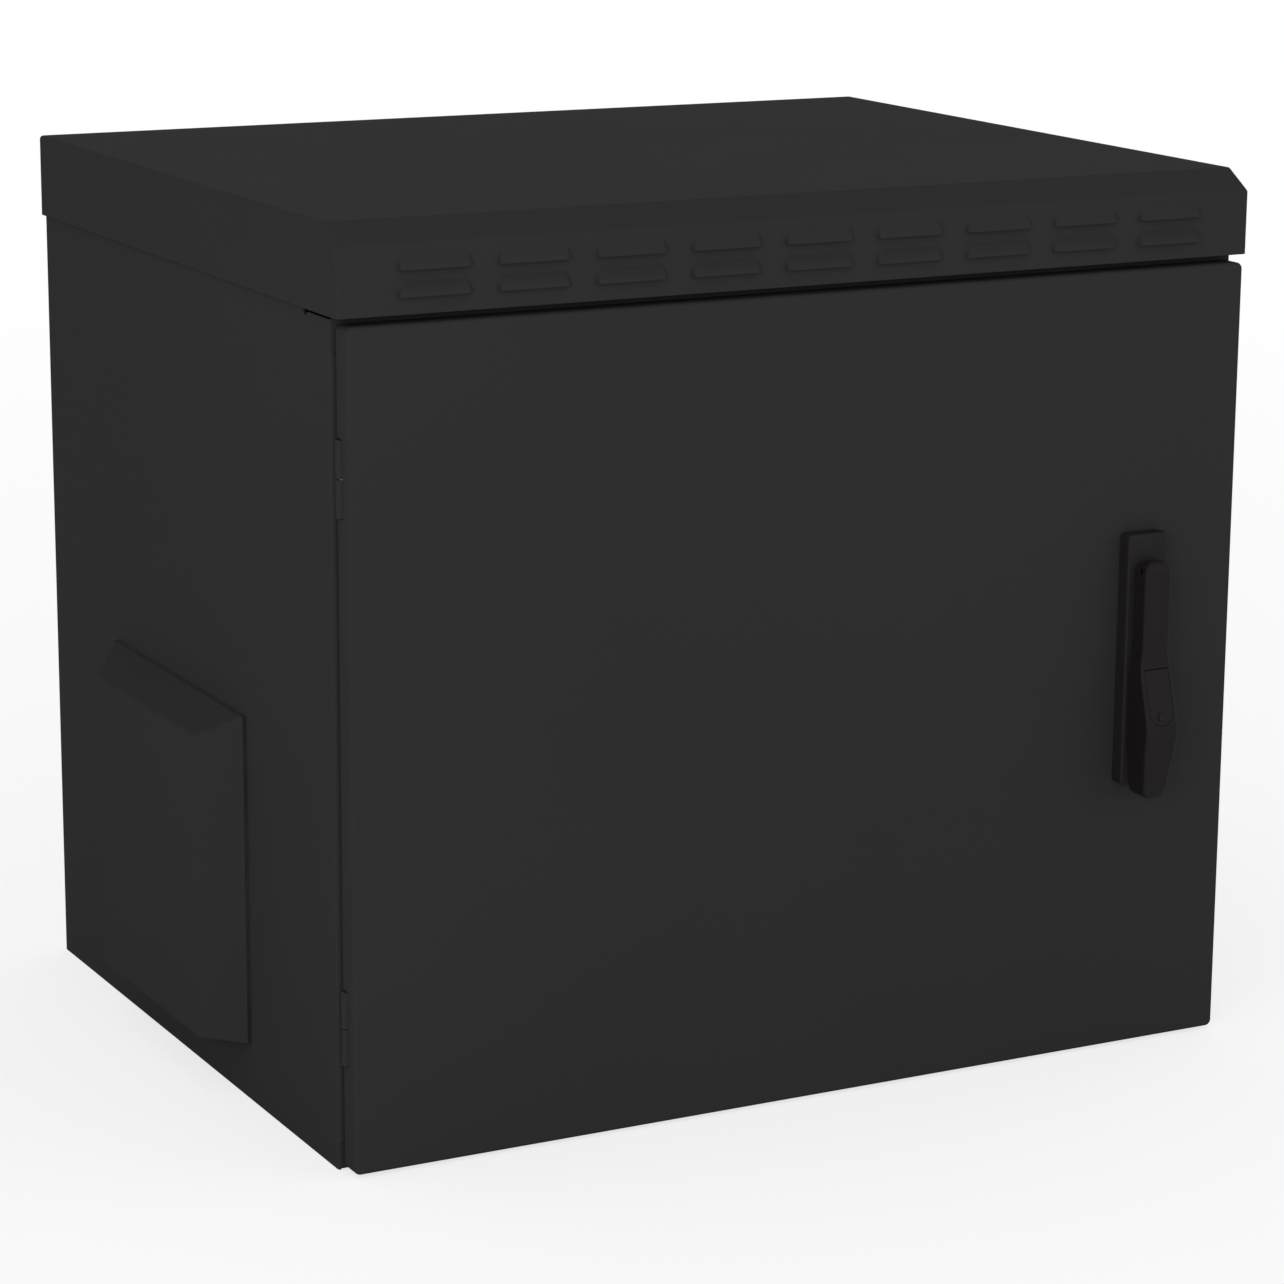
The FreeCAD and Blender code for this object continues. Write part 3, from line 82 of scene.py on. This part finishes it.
# Studio, in metres, degrees and watts
FLOOR_HALF = 30.0
FLOOR_DROP = 0.5 * MM         # below the cabinet's lowest point
FLOOR_TONE = 0.93
FADE_NEAR, FADE_FAR = 0.6, 3.0  # distances at which the floor starts and ends to turn into background
FADE_START = 0.72             # share of background at the nearer distance
ROOM_LIGHT = 0.82
KEY_SPOT, KEY_SIZE, KEY_WATTS = (-2.35, -3.15, 1.0), (2.6, 1.6), 48
FILL_SPOT, FILL_SIZE, FILL_WATTS = (2.7, -2.6, 0.9), (2.0, 1.6), 12
CAMERA_SPOT = (-1.1612, -2.4792, 0.5866)
CAMERA_YAW, CAMERA_PITCH = 27.69, -13.57
CAMERA_ROLL = 0.007           # radians
CAMERA_LENS, CAMERA_SENSOR = 113.03, 36.0  # millimetres, as Blender takes them
CAMERA_REACH = 200.0


# ---- Shader helpers ----------------------------------------------------------------------------------
def new_material(name, roughness, metallic=0.0, specular=0.5):
    """A material and its Principled shader, with the plain numbers on the shader's own sockets."""
    material = bpy.data.materials.new(name)
    material.use_nodes = True
    shader = material.node_tree.nodes["Principled BSDF"]
    shader.inputs["Roughness"].default_value = roughness
    shader.inputs["Metallic"].default_value = metallic
    shader.inputs["Specular IOR Level"].default_value = specular
    return material, shader


def add(material, kind, settings=None, **inputs):
    """A shader node with its settings and its unlinked inputs; an input may be another node's socket."""
    node = material.node_tree.nodes.new(kind)
    for key, value in (settings or {}).items():
        setattr(node, key, value)
    for key, value in inputs.items():
        socket = node.inputs[int(key[1:])] if key[1:].isdigit() else node.inputs[key.replace("_", " ")]
        if isinstance(value, bpy.types.NodeSocket):
            material.node_tree.links.new(value, socket)
        else:
            socket.default_value = value
    return node


def place(material):
    """Object coordinates, which are the cabinet's own, in metres."""
    return add(material, "ShaderNodeTexCoord").outputs["Object"]


def noise_at(material, scale, detail=2.0, roughness=0.5, stretch=(1, 1, 1)):
    """Noise from 0 to 1 in the cabinet's coordinates; a stretch below 1 draws it out along that axis."""
    mapping = add(material, "ShaderNodeMapping", Vector=place(material), Scale=stretch)
    texture = add(material, "ShaderNodeTexNoise", Vector=mapping.outputs["Vector"], Scale=scale,
                  Detail=detail, Roughness=roughness)
    return texture.outputs["Fac"]


def ramp(material, value, stops):
    """Colour ramp through (position, colour) stops."""
    node = add(material, "ShaderNodeValToRGB", Fac=value)
    elements = node.color_ramp.elements
    while len(elements) < len(stops):
        elements.new(0.5)
    for element, (position, colour) in zip(elements, stops):
        element.position = position
        element.color = (*colour, 1.0)
    return node.outputs["Color"]


def scaled(material, value, low, high):
    """The value, from 0 to 1, spread between low and high."""
    return add(material, "ShaderNodeMapRange", Value=value, To_Min=low, To_Max=high).outputs["Result"]


def bump(material, height, strength, distance, normal=None):
    """Normal with a relief on it, on top of another normal where one is given."""
    inputs = {"Height": height, "Strength": strength, "Distance": distance}
    if normal is not None:
        inputs["Normal"] = normal
    return add(material, "ShaderNodeBump", **inputs).outputs["Normal"]


def soft_edges(material, radius):
    """Normal rounded over the edges, and a mask that is 1 on them."""
    rounded = add(material, "ShaderNodeBevel", {"samples": EDGE_SAMPLES}, Radius=radius).outputs["Normal"]
    flat = add(material, "ShaderNodeNewGeometry").outputs["Normal"]
    cosine = add(material, "ShaderNodeVectorMath", {"operation": "DOT_PRODUCT"}, _0=rounded, _1=flat)
    mask = add(material, "ShaderNodeMapRange", Value=cosine.outputs["Value"], From_Min=1.0,
               From_Max=SHARP_COSINE, To_Min=0.0, To_Max=1.0)
    return rounded, mask.outputs["Result"]


def mixed(material, factor, first, second):
    """Colour between two, each a socket or three numbers."""
    node = add(material, "ShaderNodeMix", {"data_type": "RGBA"}, Factor=factor)
    for socket, value in zip((node.inputs[6], node.inputs[7]), (first, second)):
        if isinstance(value, bpy.types.NodeSocket):
            material.node_tree.links.new(value, socket)
        else:
            socket.default_value = (*value, 1.0)
    return node.outputs[2]


def connect(material, shader, **sockets):
    """Links each value to the shader's input of that name."""
    for key, value in sockets.items():
        material.node_tree.links.new(value, shader.inputs[key.replace("_", " ")])


# ---- Materials ---------------------------------------------------------------------------------------
def powder_coat(name, colour, grain=1300.0, depth=0.00004):
    """Fine-textured polyester powder coat: pebbled, satin, and a little paler on the edges, where the coat is
    thinner and worn and where a highlight is painted in.
    """
    material, shader = new_material(name, 0.7, specular=0.004)
    lighter = [c * 1.06 for c in colour]
    # paler edge colour: worn, thin coat, partly a painted edge highlight
    edge = [c * 1.35 + 0.003 for c in colour]
    clouds = ramp(material, noise_at(material, 3.0, 3.0), ((0.35, colour), (0.75, lighter)))
    rounded, mask = soft_edges(material, 0.9 * MM)
    # paler edges in patches: wear, and partly a painted edge highlight
    scuffs_and_edge_highlight = add(material, "ShaderNodeMath", {"operation": "MULTIPLY"}, _0=mask,
                 _1=scaled(material, noise_at(material, 60.0, 4.0), 0.15, 0.75)).outputs[0]
    pebbles = noise_at(material, grain, 2.0, 0.6)
    swell = bump(material, noise_at(material, grain / 6, 1.0), 0.12, depth * 4, rounded)
    connect(material, shader,
            Base_Color=mixed(material, scuffs_and_edge_highlight, clouds, edge),
            Roughness=scaled(material, noise_at(material, 14.0, 5.0, 0.65), 0.66, 0.74),
            Normal=bump(material, pebbles, 0.35, depth, swell))
    return material


def moulded_plastic(name, colour, roughness=0.5):
    """Glass-filled nylon: spark-eroded grain and faint flow marks."""
    material, shader = new_material(name, roughness, specular=0.07)
    flow = noise_at(material, 35.0, 3.0, 0.6, stretch=(1, 1, 0.25))
    rounded, mask = soft_edges(material, 0.5 * MM)
    paler = [c * 1.2 + 0.0005 for c in colour]
    worn = [c * 1.7 + 0.002 for c in colour]
    tint = ramp(material, flow, ((0.35, colour), (0.7, paler)))
    connect(material, shader,
            Base_Color=mixed(material, scaled(material, mask, 0.0, 0.5), tint, worn),
            Roughness=scaled(material, flow, roughness - 0.06, roughness + 0.08),
            Normal=bump(material, noise_at(material, 2600.0, 2.0), 0.3, 0.00003, rounded))
    return material


def zinc_plate(name, colour, streak=(1, 1, 1)):
    """Zinc-plated sheet: rolling marks, a patchy passivated film and brighter edges."""
    material, shader = new_material(name, 0.4, metallic=1.0)
    patches = add(material, "ShaderNodeTexVoronoi", Vector=place(material), Scale=55.0).outputs["Color"]
    patch = add(material, "ShaderNodeSeparateColor", Color=patches).outputs[0]
    streaks = noise_at(material, 420.0, 3.0, 0.6, stretch=streak)
    dull = [c * 0.86 for c in colour]
    rounded, mask = soft_edges(material, 0.4 * MM)
    film = mixed(material, scaled(material, patch, 0.0, 0.35), colour, dull)
    connect(material, shader,
            Base_Color=mixed(material, scaled(material, mask, 0.0, 0.6), film, (0.78, 0.78, 0.78)),
            Roughness=scaled(material, streaks, 0.3, 0.48),
            Normal=bump(material, streaks, 0.15, 0.00003, rounded))
    return material


def threaded(name, colour, axis, pitch):
    """Plated steel whose thread is a wave along the axis, with painted shade in its grooves."""
    material, shader = new_material(name, 0.32, metallic=1.0)
    wave = add(material, "ShaderNodeTexWave", {"wave_type": "BANDS", "bands_direction": axis},
               Vector=place(material), Scale=WAVE_LENGTH / pitch, Distortion=0.0).outputs["Fac"]
    grime = noise_at(material, 300.0, 3.0)
    # painted shade: where the wave is low, in the thread's grooves, the colour is darker
    painted_groove_shade = [c * 0.55 for c in colour]
    connect(material, shader,
            Base_Color=mixed(material, scaled(material, wave, 0.6, 0.0), colour, painted_groove_shade),
            Roughness=scaled(material, grime, 0.25, 0.42),
            Normal=bump(material, wave, 0.8, 0.0003))
    return material


def rubber(name, colour):
    """Closed-cell rubber: matt, with pin-prick cells and chalky bloom."""
    material, shader = new_material(name, 0.85, specular=0.2)
    cells = add(material, "ShaderNodeTexVoronoi", Vector=place(material), Scale=1500.0).outputs["Distance"]
    bloom = noise_at(material, 45.0, 4.0, 0.6)
    paler = [c * 1.8 + 0.003 for c in colour]
    connect(material, shader,
            Base_Color=ramp(material, bloom, ((0.4, colour), (0.8, paler))),
            Roughness=scaled(material, bloom, 0.78, 0.92),
            Normal=bump(material, cells, 0.5, 0.00008))
    return material


def fleece(name, colour):
    """Filter fleece: matted fibres that run every way, a little grey where air has passed."""
    material, shader = new_material(name, 0.95, specular=0.1)
    across = noise_at(material, 900.0, 5.0, 0.8, stretch=(0.25, 1, 1))
    along = noise_at(material, 900.0, 5.0, 0.8, stretch=(1, 0.25, 0.6))
    fibres = add(material, "ShaderNodeMath", {"operation": "MULTIPLY"}, _0=across, _1=along).outputs[0]
    soil = noise_at(material, 25.0, 3.0)
    shade = [c * 0.72 for c in colour]
    base = ramp(material, fibres, ((0.12, shade), (0.42, colour)))
    connect(material, shader,
            Base_Color=mixed(material, scaled(material, soil, 0.0, 0.35), base, shade),
            Normal=bump(material, fibres, 0.9, 0.0006))
    shader.inputs["Sheen Weight"].default_value = 0.25
    return material


def nickel(name, colour):
    """Nickel-plated lock barrel: fine handling scratches."""
    material, shader = new_material(name, 0.2, metallic=1.0)
    scratches = noise_at(material, 800.0, 4.0, 0.7, stretch=(1, 0.15, 1))
    connect(material, shader,
            Base_Color=ramp(material, scratches, ((0.3, [c * 0.8 for c in colour]), (0.7, colour))),
            Roughness=scaled(material, scratches, 0.14, 0.32),
            Normal=bump(material, scratches, 0.2, 0.00002))
    return material


coat = powder_coat("powder_coat", (0.0238, 0.0238, 0.0243))
handle_coat = moulded_plastic("black_handle", (0.0092, 0.0078, 0.0082), 0.5)
nylon = moulded_plastic("black_plastic", (0.0118, 0.0105, 0.0109), 0.58)
zinc = zinc_plate("zinc_plate", (0.56, 0.57, 0.58), streak=(1, 1, 0.06))
screw_black = zinc_plate("black_screw", (0.05, 0.05, 0.052))
steel_x = threaded("bright_steel_thread_x", (0.6, 0.6, 0.6), "X", 1.0 * MM)
steel_z = threaded("bright_steel_thread_z", (0.6, 0.6, 0.6), "Z", 1.25 * MM)
steel = zinc_plate("bright_steel", (0.62, 0.62, 0.62))
seal = rubber("rubber", (0.011, 0.011, 0.011))
filter_fleece = fleece("filter_fleece", (0.52, 0.52, 0.49))
lock_metal = nickel("lock_metal", (0.62, 0.61, 0.57))

BY_SLOT = {"powder_coat": coat, "zinc_plate": zinc, "black_plastic": nylon, "black_handle": handle_coat,
           "rubber": seal, "filter_fleece": filter_fleece, "bright_steel": steel, "black_screw": screw_black,
           "lock_metal": lock_metal}
BY_NODE = {"rail_bolts": steel_x, "bar_studs": steel_x, "earth_stud": steel_z, "lever_pin": screw_black}


def paint(piece, material):
    """Gives a piece one material and no other."""
    piece.data.materials.clear()
    piece.data.materials.append(material)


def paint_nodes():
    """Gives every CAD node the material of its slot, or its own where BY_NODE names one."""
    for entry in frame["record"]["subparts"]:
        node = entry["node"]
        paint(nodes[node], BY_NODE.get(node, BY_SLOT[entry["material_slot"]]))


# ---- Soft pieces -------------------------------------------------------------------------------------
def from_bmesh(name, mesh, material):
    """A smooth-shaded piece made from the mesh, which is freed."""
    data = bpy.data.meshes.new(name)
    mesh.to_mesh(data)
    mesh.free()
    for polygon in data.polygons:
        polygon.use_smooth = True
    piece = bpy.data.objects.new(name, data)
    bpy.context.collection.objects.link(piece)
    paint(piece, material)
    return piece


def fleece_mat(node, body):
    """Filter mat: a slab with matted, uneven faces and soft edges, inside its solid's box."""
    low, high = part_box(node)
    size = high - low
    counts = [max(2, round(length / FLEECE_CELL)) for length in size]
    mesh = bmesh.new()
    bmesh.ops.create_cube(mesh, size=1.0)
    for axis in range(3):
        edges = [e for e in mesh.edges if abs((e.verts[0].co - e.verts[1].co)[axis]) > 0.5 / counts[axis]]
        bmesh.ops.subdivide_edges(mesh, edges=edges, cuts=counts[axis] - 1, use_grid_fill=True)
    centre = (low + high) / 2
    for vert in mesh.verts:
        faces_met = sum(abs(c) > SKIN for c in vert.co)
        grain = Vector([c * s / FLEECE_GRAIN for c, s in zip(vert.co, size)])
        sink = FLEECE_PULL * (faces_met - 1) + FLEECE_PULL * 0.5 * (1 + noise.noise(grain))
        spot = Vector([c * s for c, s in zip(vert.co, size)])
        inward = Vector([-math.copysign(sink, c) if abs(c) > SKIN else 0.0 for c in vert.co])
        vert.co = centre + spot + inward
    piece = from_bmesh(node + "_fleece", mesh, filter_fleece)
    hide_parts(node)
    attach(piece, body)


def bead_profile(width, height, steps=8):
    """Half-round bead on a flat foot, as (across, up) points."""
    foot = height * BEAD_FOOT
    arc = [(math.cos(a) * width / 2, foot + math.sin(a) * (height - foot))
           for a in (math.pi * k / steps for k in range(steps + 1))]
    return [(width / 2, 0.0)] + arc + [(-width / 2, 0.0)]


def ring_path(low, high, inset, radius, steps=6):
    """Rounded rectangle in the X-Z plane: (x, z, outward x, outward z) at each point."""
    x0, x1, z0, z1 = low.x + inset, high.x - inset, low.z + inset, high.z - inset
    corners = ((x1 - radius, z0 + radius, -90), (x1 - radius, z1 - radius, 0),
               (x0 + radius, z1 - radius, 90), (x0 + radius, z0 + radius, 180))
    points = []
    for cx, cz, start in corners:
        for k in range(steps + 1):
            a = math.radians(start + 90 * k / steps)
            points.append((cx + radius * math.cos(a), cz + radius * math.sin(a), math.cos(a), math.sin(a)))
    return points


def door_seal(node, body):
    """Foamed-in-place bead all round the door, domed, with a slight waver in its width."""
    low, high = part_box(node)
    height = high.y - low.y
    mesh = bmesh.new()
    rings = []
    for x, z, ox, oz in ring_path(low, high, BEAD_WIDTH / 2 + BEAD_INSET, BEAD_CORNER):
        waver = 1 - BEAD_WAVER * abs(noise.noise(Vector((x, z, 0.0)) / WAVER_LENGTH))
        rings.append([mesh.verts.new((x + ox * u * waver, low.y + v * waver, z + oz * u * waver))
                      for u, v in bead_profile(BEAD_WIDTH, height)])
    for ring, following in zip(rings, rings[1:] + rings[:1]):
        for a, b, c, d in zip(ring, ring[1:] + ring[:1], following[1:] + following[:1], following):
            mesh.faces.new((a, b, c, d))
    bmesh.ops.recalc_face_normals(mesh, faces=mesh.faces)
    piece = from_bmesh(node + "_bead", mesh, seal)
    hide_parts(node)
    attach(piece, body)


# ---- Studio ------------------------------------------------------------------------------------------
def add_floor():
    """White floor: it keeps a soft shadow by the cabinet and fades into the background further off."""
    z = cad_box[0].z - FLOOR_DROP
    corners = [(x * FLOOR_HALF, y * FLOOR_HALF, z) for x, y in ((-1, -1), (1, -1), (1, 1), (-1, 1))]
    mesh = bpy.data.meshes.new("floor")
    mesh.from_pydata(corners, [], [(0, 1, 2, 3)])
    floor = bpy.data.objects.new("floor", mesh)
    bpy.context.collection.objects.link(floor)
    material = bpy.data.materials.new("floor")
    material.use_nodes = True
    tree = material.node_tree
    tree.nodes.clear()
    diffuse = add(material, "ShaderNodeBsdfDiffuse", Color=(FLOOR_TONE, FLOOR_TONE, FLOOR_TONE, 1.0))
    white = add(material, "ShaderNodeEmission", Color=(1, 1, 1, 1), Strength=1.0)
    away = add(material, "ShaderNodeVectorMath", {"operation": "LENGTH"}, _0=place(material)).outputs["Value"]
    fade = add(material, "ShaderNodeMapRange", Value=away, From_Min=FADE_NEAR, From_Max=FADE_FAR,
               To_Min=FADE_START, To_Max=1.0)
    seen = add(material, "ShaderNodeMixShader", _0=fade.outputs["Result"], _1=diffuse.outputs[0],
               _2=white.outputs[0])
    path = add(material, "ShaderNodeLightPath")
    sight = add(material, "ShaderNodeMath", {"operation": "MAXIMUM"}, _0=path.outputs["Is Camera Ray"],
                _1=path.outputs["Is Transmission Ray"])
    choice = add(material, "ShaderNodeMixShader", _0=sight.outputs[0], _1=diffuse.outputs[0],
                 _2=seen.outputs[0])
    add(material, "ShaderNodeOutputMaterial", Surface=choice.outputs[0])
    paint(floor, material)


def add_world(strength):
    """Even white room: it shows white to camera, gloss and glass, and lights at the given strength."""
    world = bpy.data.worlds.new("studio")
    bpy.context.scene.world = world
    world.use_nodes = True
    tree = world.node_tree
    tree.nodes.clear()
    path = add(world, "ShaderNodeLightPath")
    clear = add(world, "ShaderNodeMath", {"operation": "MAXIMUM"}, _0=path.outputs["Is Camera Ray"],
                _1=path.outputs["Is Transmission Ray"])
    shown = add(world, "ShaderNodeMath", {"operation": "MAXIMUM"}, _0=clear.outputs[0],
                _1=path.outputs["Is Glossy Ray"])
    level = add(world, "ShaderNodeMapRange", Value=shown.outputs[0], To_Min=strength, To_Max=1.0)
    background = add(world, "ShaderNodeBackground", Color=(1, 1, 1, 1), Strength=level.outputs["Result"])
    add(world, "ShaderNodeOutputWorld", Surface=background.outputs[0])


def add_softbox(name, spot, size, watts):
    """Rectangular lamp that faces the cabinet's centre."""
    lamp = bpy.data.lights.new(name, "AREA")
    lamp.shape = "RECTANGLE"
    lamp.size, lamp.size_y = size
    lamp.energy = watts
    obj = bpy.data.objects.new(name, lamp)
    bpy.context.collection.objects.link(obj)
    obj.location = spot
    aim = (cad_box[0] + cad_box[1]) / 2
    obj.rotation_euler = (aim - Vector(spot)).to_track_quat("-Z", "Y").to_euler()


def add_camera():
    """Three-quarter view from the front left, a little above the roof."""
    data = bpy.data.cameras.new("camera")
    data.sensor_width = CAMERA_SENSOR
    data.lens = CAMERA_LENS
    data.clip_end = CAMERA_REACH
    camera = bpy.data.objects.new("camera", data)
    bpy.context.collection.objects.link(camera)
    bpy.context.scene.camera = camera
    yaw = math.radians(CAMERA_YAW)
    pitch = math.radians(CAMERA_PITCH)
    forward = Vector((math.sin(yaw) * math.cos(pitch), math.cos(yaw) * math.cos(pitch), math.sin(pitch)))
    level = Vector((math.cos(yaw), -math.sin(yaw), 0.0))
    upright = level.cross(forward)
    right = level * math.cos(CAMERA_ROLL) + upright * math.sin(CAMERA_ROLL)
    up = upright * math.cos(CAMERA_ROLL) - level * math.sin(CAMERA_ROLL)
    matrix = camera.matrix_world.copy()
    for column, axis in enumerate((right, up, -forward, CAMERA_SPOT)):
        for row in range(3):
            matrix[row][column] = axis[row]
    camera.matrix_world = matrix


# ---- Assembly ----------------------------------------------------------------------------------------
paint_nodes()
for name in ("filter_mat_left", "filter_mat_right", "roof_filter_mat"):
    fleece_mat(name, "cabinet")
door_seal("door_gasket", "door")

add_floor()
add_world(ROOM_LIGHT)
add_softbox("key", KEY_SPOT, KEY_SIZE, KEY_WATTS)
add_softbox("fill", FILL_SPOT, FILL_SIZE, FILL_WATTS)
add_camera()

bpy.context.scene.view_settings.view_transform = "Standard"
